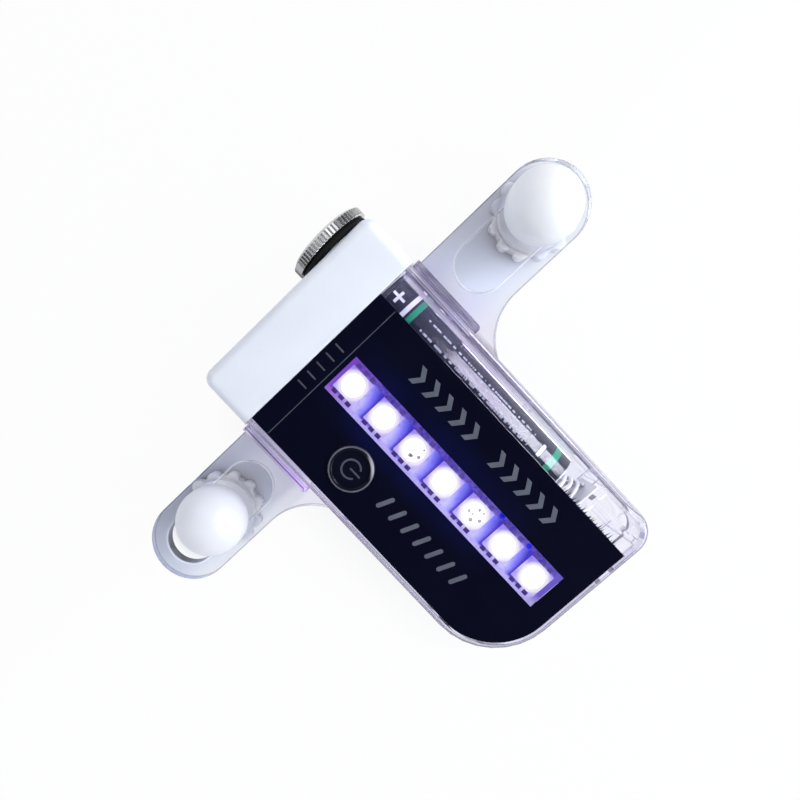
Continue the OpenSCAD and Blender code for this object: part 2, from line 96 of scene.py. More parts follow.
class Look:
    """A material written in nodes, with places in millimetres of the object's own space."""

    def __init__(self, name):
        self.material = bpy.data.materials.new(name)
        self.material.use_nodes = True
        self.tree = self.material.node_tree
        self.tree.nodes.clear()
        self.out = self.add("ShaderNodeOutputMaterial")
        place = self.add("ShaderNodeTexCoord")
        grow = self.add("ShaderNodeVectorMath", operation="SCALE")
        grow.inputs["Scale"].default_value = 1 / MM
        self.link(place.outputs["Object"], grow.inputs[0])
        self.mm = grow.outputs[0]
        self.x, self.y, self.z = self.split(self.mm)

    def add(self, kind, **settings):
        node = self.tree.nodes.new(kind)
        for key, value in settings.items():
            setattr(node, key, value)
        return node

    def link(self, source, target):
        self.tree.links.new(source, target)

    def feed(self, socket, value):
        """Links a socket to another, or sets it to a plain value."""
        if isinstance(value, bpy.types.NodeSocket):
            self.link(value, socket)
        elif isinstance(value, tuple) and socket.type == "RGBA" and len(value) == 3:
            socket.default_value = (*value, 1.0)
        else:
            socket.default_value = value

    def split(self, vector):
        node = self.add("ShaderNodeSeparateXYZ")
        self.link(vector, node.inputs[0])
        return node.outputs

    def math(self, operation, a, b=0.0):
        node = self.add("ShaderNodeMath", operation=operation)
        self.feed(node.inputs[0], a)
        self.feed(node.inputs[1], b)
        return node.outputs[0]

    def chain(self, operation, values):
        result = values[0]
        for value in values[1:]:
            result = self.math(operation, result, value)
        return result

    def times(self, *values):
        return self.chain("MULTIPLY", values)

    def total(self, *values):
        return self.chain("ADD", values)

    def most(self, *values):
        return self.chain("MAXIMUM", values)

    def less(self, value, amount):
        return self.math("SUBTRACT", value, amount)

    def away(self, value, centre):
        """Distance of a value from a centre."""
        return self.math("ABSOLUTE", self.less(value, centre))

    def past(self, value, limit):
        """How far a value is above a limit, 0 below it."""
        return self.most(self.less(value, limit), 0.0)

    def hypot(self, a, b):
        """Distance with two given sides."""
        return self.math("SQRT", self.total(self.times(a, a), self.times(b, b)))

    def span(self, value, low, high, start=0.0, end=1.0, smooth=False):
        """Carries low..high to start..end and holds both ends."""
        node = self.add("ShaderNodeMapRange", interpolation_type="SMOOTHSTEP" if smooth else "LINEAR")
        self.feed(node.inputs["Value"], value)
        for key, number in (("From Min", low), ("From Max", high), ("To Min", start), ("To Max", end)):
            node.inputs[key].default_value = number
        return node.outputs[0]

    def spread(self, noise, start=0.0, end=1.0):
        """Carries the usual range of a noise to start..end."""
        return self.span(noise, 0.3, 0.7, start, end)

    def under(self, value, limit, soft=0.04):
        """1 below a limit, 0 above it."""
        return self.span(value, limit - soft, limit + soft, 1.0, 0.0)

    def band(self, value, low, high, soft=0.04):
        """1 between low and high, 0 outside."""
        return self.times(self.span(value, low - soft, low + soft), self.under(value, high, soft))

    def noise(self, size, detail=2.0, rough=0.5, stretch=(1, 1, 1), turn=(0, 0, 0), shift=0.0):
        """Noise from 0 to 1 with features of about that size in millimetres."""
        place = self.add("ShaderNodeMapping")
        self.link(self.mm, place.inputs["Vector"])
        place.inputs["Location"].default_value = (shift, shift * 1.7, shift * 0.6)
        place.inputs["Rotation"].default_value = turn
        place.inputs["Scale"].default_value = tuple(1 / (size * s) for s in stretch)
        node = self.add("ShaderNodeTexNoise")
        self.link(place.outputs[0], node.inputs["Vector"])
        node.inputs["Scale"].default_value = 1.0
        node.inputs["Detail"].default_value = detail
        node.inputs["Roughness"].default_value = rough
        return node.outputs["Fac"]

    def mix(self, factor, a, b):
        node = self.add("ShaderNodeMix", data_type="RGBA")
        self.feed(node.inputs[0], factor)
        self.feed(node.inputs[6], a)
        self.feed(node.inputs[7], b)
        return node.outputs[2]

    def coats(self, colour, *layers):
        """A colour with others laid over it in turn, each by its own factor."""
        for factor, over in layers:
            colour = self.mix(factor, colour, over)
        return colour

    def rounded(self, radius):
        """Normal that rounds sharp edges by a radius in millimetres."""
        node = self.add("ShaderNodeBevel", samples=6)
        node.inputs["Radius"].default_value = radius * MM
        return node.outputs[0]

    def edges(self, radius):
        """1 along the edges, 0 on flat faces."""
        place = self.add("ShaderNodeNewGeometry")
        turn = self.add("ShaderNodeVectorMath", operation="DOT_PRODUCT")
        self.link(self.rounded(radius), turn.inputs[0])
        self.link(place.outputs["Normal"], turn.inputs[1])
        return self.span(turn.outputs["Value"], 0.995, 0.85)

    def bump(self, height, depth, normal=None):
        """Relief whose full height is a depth in millimetres."""
        node = self.add("ShaderNodeBump")
        node.inputs["Strength"].default_value = 1.0
        node.inputs["Distance"].default_value = depth * MM
        self.link(height, node.inputs["Height"])
        if normal is not None:
            self.link(normal, node.inputs["Normal"])
        return node.outputs[0]

    def crevice(self, reach):
        """1 in open places, less in narrow ones within a reach in millimetres."""
        node = self.add("ShaderNodeAmbientOcclusion", samples=6)
        node.inputs["Distance"].default_value = reach * MM
        return node.outputs["AO"]

    def surface(self, **values):
        """Principled shader, its sockets named with _ for spaces."""
        node = self.add("ShaderNodeBsdfPrincipled")
        for key, value in values.items():
            self.feed(node.inputs[key.replace("_", " ")], value)
        return node.outputs[0]

    def blend(self, share, first, second):
        """Mix of two shaders, with the share of the second."""
        node = self.add("ShaderNodeMixShader")
        for source, socket in zip((share, first, second), node.inputs):
            self.link(source, socket)
        return node.outputs[0]

    def done(self, shader):
        self.link(shader, self.out.inputs["Surface"])
        return self.material


def case_rim_shade(look):
    """Mask of a painted dark outline on the rounded outer edges of the case, fainter along its right wall."""
    upright = look.math("ABSOLUTE", look.split(look.add("ShaderNodeNewGeometry").outputs["Normal"])[2])
    slant = look.times(look.span(upright, 0.99, 0.9, 0.0, 0.9), look.span(upright, 0.04, 0.12))
    middle_z = (case_high.z + wing_low.z) / 2
    rounding = 1.0
    start = case_high.z - middle_z - rounding
    outer = look.span(look.away(look.z, middle_z), start, start + 0.1)
    right_wall = label_high.x + 1.7
    return look.times(slant, outer, look.span(look.x, right_wall, right_wall + 4.0, 1.0, 0.4))


def clear_plastic(name, tint, deep):
    """Polished clear plastic: lavender body, hairline scuffs, painted shade at the wing roots, right cheek and
    outlines, painted glow in its walls and rims.
    """
    look = Look(name)
    cloud = look.noise(14, 2)
    out = look.away(look.x, 0.0)

    # Parts of the case: cheeks at the wing roots, lower wall, hollow, and the bay below the cell
    wall, soft = 1.9, 0.3
    side, face, wing_foot = case_high.x, case_high.z, slot_y - 7.65
    streak = look.noise(0.5, 3, 0.6, stretch=(1, 14, 4), shift=3)
    cheek = look.times(
        look.band(out, side - 1.8, side + 0.1, soft), look.band(look.y, wing_foot - 9.0, wing_foot + 15.0, 2.0),
        look.span(look.x, 0.0, side - 2.7, 0.0, 0.9), look.span(streak, 0.35, 0.65, 0.25, 1.0),
    )
    foot = look.under(look.y, case_low.y + wall, soft)
    inside = look.times(look.under(out, side - wall, soft), look.less(1.0, foot))
    bay = look.times(
        inside, look.span(look.x, label_high.x - 4.0, label_high.x - 3.0),
        look.span(look.y, sleeve_low.y - 1.0, sleeve_low.y - 4.0),
    )

    # Tint with painted shade: violet at the wing roots, grey on the right cheek, dark outlines along the edges,
    # the rounded rim and the lower brim; the bay gets a paler tint as painted light
    root_shade = look.times(
        look.span(out, side - 1.7, side + 9.3, 1.0, 0.0, True),
        look.band(look.y, wing_foot - 14.0, wing_foot + 16.0, 4.0),
    )
    # Painted shade: dark outlines along the edges, lighter inside the case
    outline = look.times(look.edges(0.3), look.span(inside, 0.0, 1.0, 0.9, 0.1))
    brim_shade = look.times(foot, look.span(look.z, face - 1.1, face - 0.7))
    colour = look.coats(
        look.mix(cloud, tint, deep),
        (look.times(root_shade, 0.35), (0.8, 0.72, 0.94)),
        (cheek, (0.45, 0.43, 0.52)),
        (look.times(bay, 0.5), (0.995, 0.99, 1.0)),
        (outline, (0.16, 0.14, 0.2)),
        (case_rim_shade(look), (0.24, 0.22, 0.3)),
        (look.times(brim_shade, 0.55), (0.4, 0.37, 0.47)),
    )

    # Painted light, glowing though no lamp: a faint glow on the side walls, lower wall and bay, painted
    # highlights on the rib ends and slot rims, a painted violet line on the left cheek, and a glow on long
    # light paths
    side_wall_glow = look.times(look.band(out, side - 2.3, side + 0.2, soft), look.span(cheek, 0.0, 0.3, 1.0, 0.0))
    rib_end_glow = look.times(
        foot, look.band(look.x, sleeve_low.x - 1.55, sleeve_low.x + 2.45, 0.4),
        look.span(look.z, face - 0.2, face - 0.05),
    )
    from_slot = look.hypot(look.past(look.away(out, slot_mid), slot_half), look.away(look.y, slot_y))
    slot_rim_highlight = look.times(
        look.band(from_slot, slot_r - 0.05, slot_r + 0.3, 0.06),
        look.span(look.z, wing_high.z - 0.3, wing_high.z - 0.1),
        look.span(look.noise(7, 1, shift=5), 0.35, 0.6, 0.15, 1.0),
    )
    left_violet_glow = look.times(
        look.band(look.x, -side - 0.05, -side + 0.5, 0.2),
        look.band(look.z, wing_high.z + 0.1, wing_high.z + 4.8, 1.5),
        look.span(look.away(look.y, wing_foot), 1.0, 11.0, 1.0, 0.0, True),
    )
    path = look.add("ShaderNodeLightPath")
    deep_path_glow = look.math("GREATER_THAN", path.outputs["Ray Depth"], 6.5)
    painted_glow = look.coats(
        BLACK,
        (side_wall_glow, (0.018, 0.016, 0.024)),
        (foot, (0.014, 0.012, 0.02)),
        (bay, (0.01, 0.01, 0.012)),
        (rib_end_glow, (0.24, 0.23, 0.28)),
        (slot_rim_highlight, (0.26, 0.265, 0.28)),
        (left_violet_glow, (0.13, 0.03, 0.25)),
        (deep_path_glow, (0.24, 0.23, 0.28)),
    )

    hair = look.noise(0.22, 2, 0.6, stretch=(1, 26, 26), turn=(0.3, 0.2, 0.7))
    cross = look.noise(0.2, 2, 0.6, stretch=(24, 1, 24), turn=(0.1, 0.4, -0.5), shift=7)
    scuff = look.most(look.span(hair, 0.68, 0.76), look.span(cross, 0.7, 0.78))
    glass = look.surface(
        Base_Color=colour, IOR=1.47, Transmission_Weight=1.0, Normal=look.bump(look.noise(6, 1), 0.006),
        Roughness=look.total(look.spread(cloud, 0.005, 0.02), look.times(scuff, 0.03)),
        Emission_Color=painted_glow, Emission_Strength=1.0,
    )

    # Light from the lamps passes straight through
    open_way = look.add("ShaderNodeBsdfTransparent")
    open_way.inputs["Color"].default_value = (0.94, 0.94, 0.97, 1)
    return look.done(look.blend(path.outputs["Is Shadow Ray"], glass, open_way.outputs[0]))


def white_plastic(name, pale, shade, gloss, soak=0.12, depth=1.2):
    """Moulded white plastic: cloudy colour, fine grain, painted shade in the corners, rubbed edges."""
    look = Look(name)
    cloud = look.noise(8, 3)
    grain = look.noise(0.28, 3, 0.6)
    speck = look.span(look.noise(0.5, 1, 0.5, shift=3), 0.74, 0.8)
    # The crevice layer is painted shade, darker where corners are occluded
    colour = look.coats(
        look.mix(look.spread(cloud), shade, pale),
        (look.span(look.crevice(0.9), 0.25, 0.95, 0.4, 0.0), (0.47, 0.46, 0.47)),
        (look.times(speck, 0.25), (0.42, 0.4, 0.38)),
    )
    rough = look.total(
        look.spread(grain, gloss, gloss + 0.09), look.span(cloud, 0.3, 0.8, 0.0, 0.05),
        look.times(look.edges(0.15), 0.08),
    )
    relief = look.bump(grain, 0.0012, look.bump(cloud, 0.012, look.rounded(0.3)))
    return look.done(look.surface(
        Base_Color=colour, Roughness=rough, IOR=1.5, Normal=relief,
        Subsurface_Weight=soak, Subsurface_Radius=(1.0, 0.95, 0.9), Subsurface_Scale=depth * MM,
    ))


def label_film():
    """Glossy blue-black film, with a faint blue glow painted along the window."""
    look = Look("label_film")
    cloud = look.noise(11, 2)
    grain = look.noise(0.4, 3)
    hair = look.span(look.noise(0.2, 2, 0.6, stretch=(1, 30, 30), turn=(0, 0, 0.9)), 0.68, 0.76)
    cut = look.times(look.edges(0.08), 0.5)
    colour = look.mix(cut, look.mix(cloud, *BLUE_BLACK), (0.05, 0.055, 0.08))
    window_half = 3.7
    # Painted light: a faint blue glow beside the lamp window, mostly on its right
    painted_glow = look.times(
        look.span(look.x, lamp_x + window_half, lamp_x + 9.5, 1.0, 0.0, True),
        look.span(look.x, lamp_x - 8.0, lamp_x - window_half, 0.0, 0.35, True),
        look.span(look.away(look.y, lamp_mid + 6), 10.0, 24.0, 1.0, 0.0, True),
        look.spread(look.noise(9, 1, shift=4), 0.35, 1.0),
    )
    return look.done(look.surface(
        Base_Color=colour, Roughness=look.total(look.spread(grain, 0.15, 0.24), look.times(hair, 0.12)),
        IOR=1.45, Specular_IOR_Level=0.1, Normal=look.bump(grain, 0.0008, look.bump(cloud, 0.02)),
        Emission_Color=look.mix(painted_glow, BLACK, (0.004, 0.006, 0.085)), Emission_Strength=1.0,
    ))


def button_plastic():
    """Black moulded button: satin face, pale line on its ring, and a painted highlight on the ring's lower
    right.
    """
    look = Look("button_plastic")
    grain = look.noise(0.25, 3)
    across = look.less(look.x, button_x)
    along = look.less(look.y, button_y)
    radius = look.hypot(across, along)
    ring = (button_high.x - button_low.x) / 2 - 0.6
    line = look.band(radius, ring - 0.27, ring + 0.2, 0.06)
    worn = look.spread(look.noise(2.4, 2, shift=8), 0.6, 1.0)
    lower_right = look.less(look.times(across, 0.8), look.times(along, 0.6))
    # Painted highlight on the ring's lower right
    ring_highlight = look.times(
        look.band(radius, ring - 0.62, ring - 0.1, 0.12),
        look.span(lower_right, ring * 0.72, ring * 0.97, 0.0, 0.8, True),
    )
    colour = look.coats(
        look.mix(look.noise(3, 2), *BLUE_BLACK),
        (look.times(line, worn), (0.15, 0.16, 0.205)),
        (ring_highlight, (0.6, 0.62, 0.7)),
    )
    return look.done(look.surface(
        Base_Color=colour, Roughness=look.spread(grain, 0.16, 0.24), IOR=1.5, Specular_IOR_Level=0.3,
        Normal=look.bump(grain, 0.0008, look.rounded(0.26)),
    ))


def ink(name, pale, shade, painted_glow=0.0):
    """Screen print: even ink with pin holes and a matt grain, with a painted glow, when given, where it lies by
    the lamps.
    """
    look = Look(name)
    grain = look.noise(0.16, 2, 0.6)
    colour = look.coats(
        look.mix(look.spread(look.noise(2.2, 2)), shade, pale),
        (look.span(grain, 0.66, 0.74, 0.0, 0.5), tuple(0.06 * c for c in pale)),
    )
    return look.done(look.surface(
        Base_Color=colour, Roughness=look.spread(grain, 0.42, 0.58), IOR=1.45, Specular_IOR_Level=0.3,
        Normal=look.bump(grain, 0.003), Emission_Color=colour, Emission_Strength=painted_glow,
    ))


def lamp_place(look):
    """Place from the middle of the nearest lamp in millimetres: along the row, and across it."""
    first = lamp_mid - lamp_pitch * (lamp_count // 2) - lamp_pitch / 2
    turn = look.math("FLOORED_MODULO", look.less(look.y, first), lamp_pitch)
    return look.less(turn, lamp_pitch / 2), look.less(look.x, lamp_x)


def lamp_lens():
    """Lit resin disc: white-hot, cooler at its rim."""
    look = Look("lamp_lens")
    radius = look.hypot(*lamp_place(look))
    cloud = look.noise(0.8, 2, 0.5, stretch=(1, 1, 8), shift=2)
    colour = look.coats(
        (1.0, 0.985, 0.96),
        (look.span(radius, 1.6, 2.06), (0.95, 0.9, 1.0)),
        (look.span(cloud, 0.5, 0.75, 0.0, 0.25), (0.9, 0.92, 0.86)),
    )
    return look.done(look.surface(
        Base_Color=(0.8, 0.8, 0.78), Roughness=look.spread(cloud, 0.08, 0.2), IOR=1.5,
        Normal=look.bump(cloud, 0.01), Emission_Color=colour, Emission_Strength=1.5,
    ))


def lamp_body():
    """White lamp body with its disc's light painted on: painted white glow beside the disc, painted lavender
    shade towards the corners.
    """
    look = Look("lamp_body")
    along, across = lamp_place(look)
    grain = look.noise(0.25, 3)
    beside_disc = look.span(look.hypot(along, across), 2.3, 3.05, 1.0, 0.0, True)
    # Painted light: this colour is both the glow and, darkened, the body colour
    colour = look.coats(
        (0.66, 0.6, 1.0),
        (look.span(look.total(along, across), -1.0, 3.2), (0.4, 0.3, 0.92)),
        (look.span(look.noise(1.6, 2, shift=4), 0.35, 0.7, 0.0, 0.3), (0.55, 0.4, 0.95)),
        (beside_disc, (1.0, 0.96, 1.0)),
    )
    return look.done(look.surface(
        Base_Color=look.mix(0.75, colour, BLACK), Roughness=look.spread(grain, 0.38, 0.55), IOR=1.5,
        Specular_IOR_Level=0.3, Normal=look.bump(grain, 0.004, look.rounded(0.08)),
        Emission_Color=colour, Emission_Strength=0.75,
    ))


def lit_board():
    """White board with the lamps' light painted on: painted pale glow below each lamp, painted deep blue shade
    before the next one.
    """
    look = Look("board")
    along, across = lamp_place(look)
    below = look.math("FLOORED_MODULO", look.less(lamp_pitch, along), lamp_pitch)
    grain = look.noise(0.3, 3)
    fleck = look.noise(0.6, 2, 0.6, shift=3)
    cloud = look.noise(6, 1, shift=6)
    half = lamp_w / 2
    next_lamp = lamp_pitch - half
    window_low, window_high = lamp_mid - 26.0, lamp_mid + 26.0
    # Painted light and shade: glow fading to deep blue before the next lamp, deeper blue at the window's edges
    # and ends; the colour is also the glow
    fade = look.total(
        look.span(below, half + 0.1, next_lamp + 0.1, -0.2, 0.7),
        look.span(across, 0.5 - half, half + 0.5, 0.0, 0.6), look.spread(cloud, -0.1, 0.1),
    )
    before_next = look.times(look.band(below, next_lamp - 0.4, next_lamp + 0.2, 0.2), 0.8)
    right_edge = look.mix(look.span(fleck, 0.35, 0.65), (0.06, 0.035, 0.4), (0.19, 0.12, 0.62))
    lower_end = look.mix(look.span(across, -half - 0.9, 1.0 - half), (0.5, 0.45, 0.85), (0.18, 0.12, 0.64))
    upper_end = (0.3, 0.085, 0.66)
    colour = look.coats(
        (0.66, 0.63, 1.0),
        (look.span(fade, 0.0, 0.5), (0.25, 0.23, 1.0)),
        (look.span(fade, 0.5, 1.0), (0.045, 0.038, 0.62)),
        (before_next, (0.07, 0.036, 0.52)),
        (look.span(across, half, half + 0.4, 0.0, 0.85), right_edge),
        (look.span(across, -half - 0.4, -half - 0.8), (0.56, 0.5, 0.98)),
        (look.span(look.y, window_low + 0.8, window_low), lower_end),
        (look.span(look.y, window_high - 6.5, window_high, 0.0, 0.85), upper_end),
        (look.span(fleck, 0.55, 0.75, 0.0, 0.3), (0.12, 0.08, 0.6)),
    )
    unlit = look.mix(look.spread(cloud), (0.6, 0.6, 0.66), (0.68, 0.68, 0.73))
    window = look.band(look.x, lamp_x - 4.6, lamp_x + 4.6, 0.6)
    return look.done(look.surface(
        Base_Color=look.mix(window, unlit, look.mix(0.7, colour, BLACK)), IOR=1.5, Specular_IOR_Level=0.3,
        Roughness=look.spread(grain, 0.38, 0.55), Normal=look.bump(grain, 0.004, look.rounded(0.08)),
        Emission_Color=look.mix(window, BLACK, colour), Emission_Strength=0.8,
    ))


def lamp_leads():
    """Tinned leads and pads with the lamps' light painted on: dark violet on the left of each lamp, nearer the
    board's blue on the right, with a painted glow.
    """
    look = Look("tinned_metal_leads")
    lines = look.noise(0.25, 3, 0.6, stretch=(6, 1, 8))
    colour = look.coats(
        (0.075, 0.036, 0.26),
        (look.span(look.less(look.x, lamp_x), -0.5, 0.5), (0.15, 0.105, 0.42)),
        (look.span(lines, 0.4, 0.7, 0.0, 0.45), (0.16, 0.08, 0.36)),
    )
    return look.done(look.surface(
        Base_Color=colour, Metallic=0.15, Roughness=look.spread(lines, 0.35, 0.55), Specular_IOR_Level=0.3,
        Normal=look.bump(lines, 0.004, look.rounded(0.06)), Emission_Color=colour, Emission_Strength=0.4,
    ))


def metal(name, pale, shade, gloss, stretch, round_by, corner_shade_level=0.5, shaded_x_range=None):
    """Plated metal with drawn lines, cloudy plating and painted shade in the corners; the last argument, if
    given, is a range in x darkened as painted shade.
    """
    look = Look(name)
    lines = look.noise(0.18, 3, 0.6, stretch=stretch)
    # Painted shade: darker where corners are occluded
    corner_shade = look.span(look.crevice(0.35), 0.15, 0.85, corner_shade_level, 0.0)
    colour = look.coats(
        look.mix(look.spread(look.noise(2.6, 3, shift=2)), shade, pale),
        (corner_shade, tuple(0.16 * c for c in shade)),
        (look.times(look.edges(0.1), 0.35), (0.93, 0.92, 0.9)),
    )
    if shaded_x_range is not None:
        # Painted shade: the given range in x is darkened
        colour = look.mix(look.span(look.x, *shaded_x_range, 0.8, 0.0, True), colour, (0.09, 0.09, 0.1))
    rough = look.total(look.spread(lines, gloss, gloss + 0.14), look.times(corner_shade, 0.25))
    relief = look.bump(lines, 0.003, look.rounded(round_by))
    return look.done(look.surface(Base_Color=colour, Metallic=1.0, Roughness=rough, Normal=relief))


def matt(name, pale, shade, gloss, grain_mm, depth, shine=0.5):
    """Matt moulded stuff: rubber, dark plastic, card, saddles."""
    look = Look(name)
    grain = look.noise(grain_mm, 3, 0.6)
    worn = tuple(min(1, c * 1.5 + 0.01) for c in pale)
    colour = look.coats(
        look.mix(look.spread(look.noise(grain_mm * 14, 2, shift=5)), shade, pale),
        (look.times(look.edges(0.12), 0.3), worn),
    )
    return look.done(look.surface(
        Base_Color=colour, Roughness=look.spread(grain, gloss, gloss + 0.15), IOR=1.5,
        Specular_IOR_Level=shine, Normal=look.bump(grain, depth, look.rounded(0.1)),
    ))


def cell_wrap():
    """Printed shrink film of the cell: near black, with rings, rows of dashes and the two pole signs."""
    look = Look("cell_wrap")
    grain = look.noise(0.3, 3)
    streak = look.noise(0.6, 2, 0.5, stretch=(1, 24, 1), shift=4)
    arc = look.times(look.math("ARCTAN2", look.less(look.x, cell_x), look.less(look.z, cell_z)), cell_r)
    top, low = sleeve_high.y, sleeve_low.y
    sign_arc, arm, half_stroke = 2.2, 1.3, 0.27
    sign_x = look.away(arc, sign_arc)
    plus_y = look.away(look.y, top - 1.5)
    plus = look.most(
        look.times(look.under(sign_x, arm), look.under(plus_y, half_stroke)),
        look.times(look.under(sign_x, half_stroke), look.under(plus_y, arm)),
    )
    minus = look.times(look.under(sign_x, arm), look.band(look.y, low + 5.2, low + 5.85))
    white_ring = look.band(look.y, top - 4.45, top - 3.6)
    green_rings = look.most(
        look.band(look.y, top - 6.0, top - 4.95), look.band(look.y, low + 2.2, low + 3.5)
    )
    dashes = look.times(
        look.most(look.band(arc, 0.7, 1.1, 0.05), look.band(arc, 3.25, 3.65, 0.05)),
        look.span(look.noise(0.5, 1, 0.5, stretch=(30, 1, 30), shift=9), 0.47, 0.5),
        look.band(look.y, low + 8, top - 7.6),
    )
    colour = look.coats(
        look.mix(look.noise(4, 2), (0.006, 0.01, 0.025), (0.013, 0.018, 0.042)),
        (green_rings, (0.012, 0.27, 0.16)),
        (look.most(plus, minus, white_ring), (0.78, 0.8, 0.86)),
        (look.times(dashes, 0.8), (0.6, 0.63, 0.7)),
    )
    return look.done(look.surface(
        Base_Color=colour, Roughness=look.spread(grain, 0.12, 0.16), IOR=1.65,
        Normal=look.bump(streak, 0.0008), Coat_Weight=1.0, Coat_Roughness=0.08, Coat_IOR=1.5,
    ))


def even_shading(limit_deg):
    """Smooth shading with crisp edges where faces meet at more than an angle."""
    group = bpy.data.node_groups.new("even_shading", "GeometryNodeTree")
    group.interface.new_socket("Geometry", in_out="INPUT", socket_type="NodeSocketGeometry")
    group.interface.new_socket("Geometry", in_out="OUTPUT", socket_type="NodeSocketGeometry")
    start = group.nodes.new("NodeGroupInput")
    end = group.nodes.new("NodeGroupOutput")
    weld = group.nodes.new("GeometryNodeMergeByDistance")
    weld.inputs["Distance"].default_value = 0.004 * MM
    plain = group.nodes.new("GeometryNodeRemoveAttribute")
    plain.inputs["Name"].default_value = "custom_normal"
    faces = group.nodes.new("GeometryNodeSetShadeSmooth")
    faces.domain = "FACE"
    angle = group.nodes.new("GeometryNodeInputMeshEdgeAngle")
    sharp = group.nodes.new("FunctionNodeCompare")
    sharp.operation = "GREATER_THAN"
    sharp.inputs[1].default_value = math.radians(limit_deg)
    edges = group.nodes.new("GeometryNodeSetShadeSmooth")
    edges.domain = "EDGE"
    edges.inputs["Shade Smooth"].default_value = False
    link = group.links.new
    link(start.outputs[0], weld.inputs["Geometry"])
    link(weld.outputs["Geometry"], plain.inputs["Geometry"])
    link(plain.outputs["Geometry"], faces.inputs["Geometry"])
    link(faces.outputs["Geometry"], edges.inputs["Geometry"])
    link(angle.outputs["Unsigned Angle"], sharp.inputs[0])
    link(sharp.outputs["Result"], edges.inputs["Selection"])
    link(edges.outputs["Geometry"], end.inputs[0])
    return group


shading = even_shading(28)
for shell in ("front_shell", "rear_shell", "end_cap"):
    modifier = nodes[shell].modifiers.new("even_shading", "NODES")
    modifier.node_group = shading


def dress(material, *names):
    """Gives nodes of the frame one material in place of their own."""
    for name in names:
        held = nodes[name].data.materials
        held.clear()
        held.append(material)


def add_piece(name, points, faces, material, body, smooth=False):
    """A new mesh piece, its points in millimetres, riding on a body."""
    mesh = bpy.data.meshes.new(name)
    mesh.from_pydata([tuple(c * MM for c in p) for p in points], [], faces)
    mesh.validate()
    mesh.update()
    if smooth:
        mesh.shade_smooth()
    mesh.materials.append(material)
    piece = bpy.data.objects.new(name, mesh)
    scene.collection.objects.link(piece)
    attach(piece, body)
    return piece


def add_prints(name, shapes, base, top, material, body):
    """Thin raised prints: closed outlines in the XY plane, lifted from base to top."""
    points, faces = [], []
    for shape in shapes:
        if top < base:
            shape = shape[::-1]
        first, n = len(points), len(shape)
        points += [(x, y, base) for x, y in shape] + [(x, y, top) for x, y in shape]
        faces.append([first + n + i for i in range(n)])
        faces.append([first + i for i in reversed(range(n))])
        faces += [[first + i, first + (i + 1) % n, first + n + (i + 1) % n, first + n + i] for i in range(n)]
    return add_piece(name, points, faces, material, body)


def stroke(line, width, ends=6):
    """Outline of a line of points drawn with a round pen."""
    half = width / 2
    line = [Vector(p) for p in line]
    left, right = [], []
    for i, p in enumerate(line):
        along = (line[min(i + 1, len(line) - 1)] - line[max(i - 1, 0)]).normalized()
        out = Vector((-along.y, along.x)) * half
        left.append(p + out)
        right.append(p - out)

    def cap(centre, start):
        angles = [start - math.pi * k / ends for k in range(1, ends)]
        return [centre + Vector((math.cos(a), math.sin(a))) * half for a in angles]

    def heading(v):
        return math.atan2(v.y, v.x)

    outline = left + cap(line[-1], heading(left[-1] - line[-1]))
    outline += right[::-1] + cap(line[0], heading(right[0] - line[0]))
    return [(p.x, p.y) for p in outline[::-1]]


def chevron(x, y, wide, deep, thick):
    """Arrow mark that points along -Y."""
    half = wide / 2
    shape = [(-half, 0), (0, -deep), (half, 0), (half, -thick), (0, -deep - thick), (-half, -thick)]
    return [(x + a, y + b) for a, b in shape][::-1]


def disc(x, y, radius, count=20):
    """Outline of a round spot."""
    turns = [2 * math.pi * k / count for k in range(count)]
    return [(x + radius * math.cos(a), y + radius * math.sin(a)) for a in turns]


clear_front = clear_plastic("clear_plastic_front", (0.95, 0.945, 0.995), (0.92, 0.915, 0.985))
clear_rear = clear_plastic("clear_plastic_rear", (0.905, 0.925, 0.99), (0.88, 0.905, 0.98))
white_cap = white_plastic("white_plastic_cap", (0.83, 0.87, 0.965), (0.795, 0.835, 0.94), 0.3)
milky = {"gloss": 0.38, "soak": 0.9, "depth": 6.0}
# Knobs and nuts are one plastic: the left knob's copy is darker as painted shade, the nuts' copy paler as
# painted light
left_white_shaded = white_plastic("white_plastic_left_knob_shaded", (0.79, 0.815, 0.885), (0.76, 0.785, 0.86), **milky)
right_white = white_plastic("white_plastic_right_knob", (0.86, 0.885, 0.955), (0.83, 0.855, 0.93), **milky)
white_nut_lit = white_plastic("white_plastic_nut_lit", (0.94, 0.93, 0.92), (0.91, 0.9, 0.89), **milky)
cap_left = box_mm("battery_cap")[0].x
# Painted shade: the cap's left end is darkened
nickel = metal(
    "nickel", (0.72, 0.72, 0.72), (0.56, 0.56, 0.57), 0.24, (1, 12, 1), 0.12, 0.85,
    shaded_x_range=(cap_left - 0.5, cap_left + 5.5),
)
tin = metal("tinned_metal", (0.88, 0.88, 0.9), (0.78, 0.78, 0.81), 0.24, (1, 10, 10), 0.1, 0.25)
dull_tin = metal("tinned_metal_dull", (0.95, 0.95, 0.97), (0.88, 0.88, 0.91), 0.5, (1, 10, 10), 0.1, 0.1)
gilt = metal("gilt_metal", (0.78, 0.62, 0.3), (0.62, 0.48, 0.22), 0.24, (1, 1, 14), 0.12)
rubber = matt("seal_rubber", (0.008, 0.008, 0.009), (0.005, 0.005, 0.006), 0.6, 0.2, 0.006, 0.15)
dark = matt("dark_plastic", (0.035, 0.036, 0.042), (0.022, 0.022, 0.026), 0.45, 0.2, 0.004)
card = matt("cell_washer_card", (0.03, 0.036, 0.06), (0.018, 0.023, 0.043), 0.4, 0.25, 0.004)
saddle = matt("saddle_plastic", (0.74, 0.75, 0.78), (0.66, 0.67, 0.7), 0.42, 0.25, 0.004)
film = label_film()
print_pale = ink("label_ink", (0.106, 0.119, 0.158), (0.085, 0.096, 0.13))
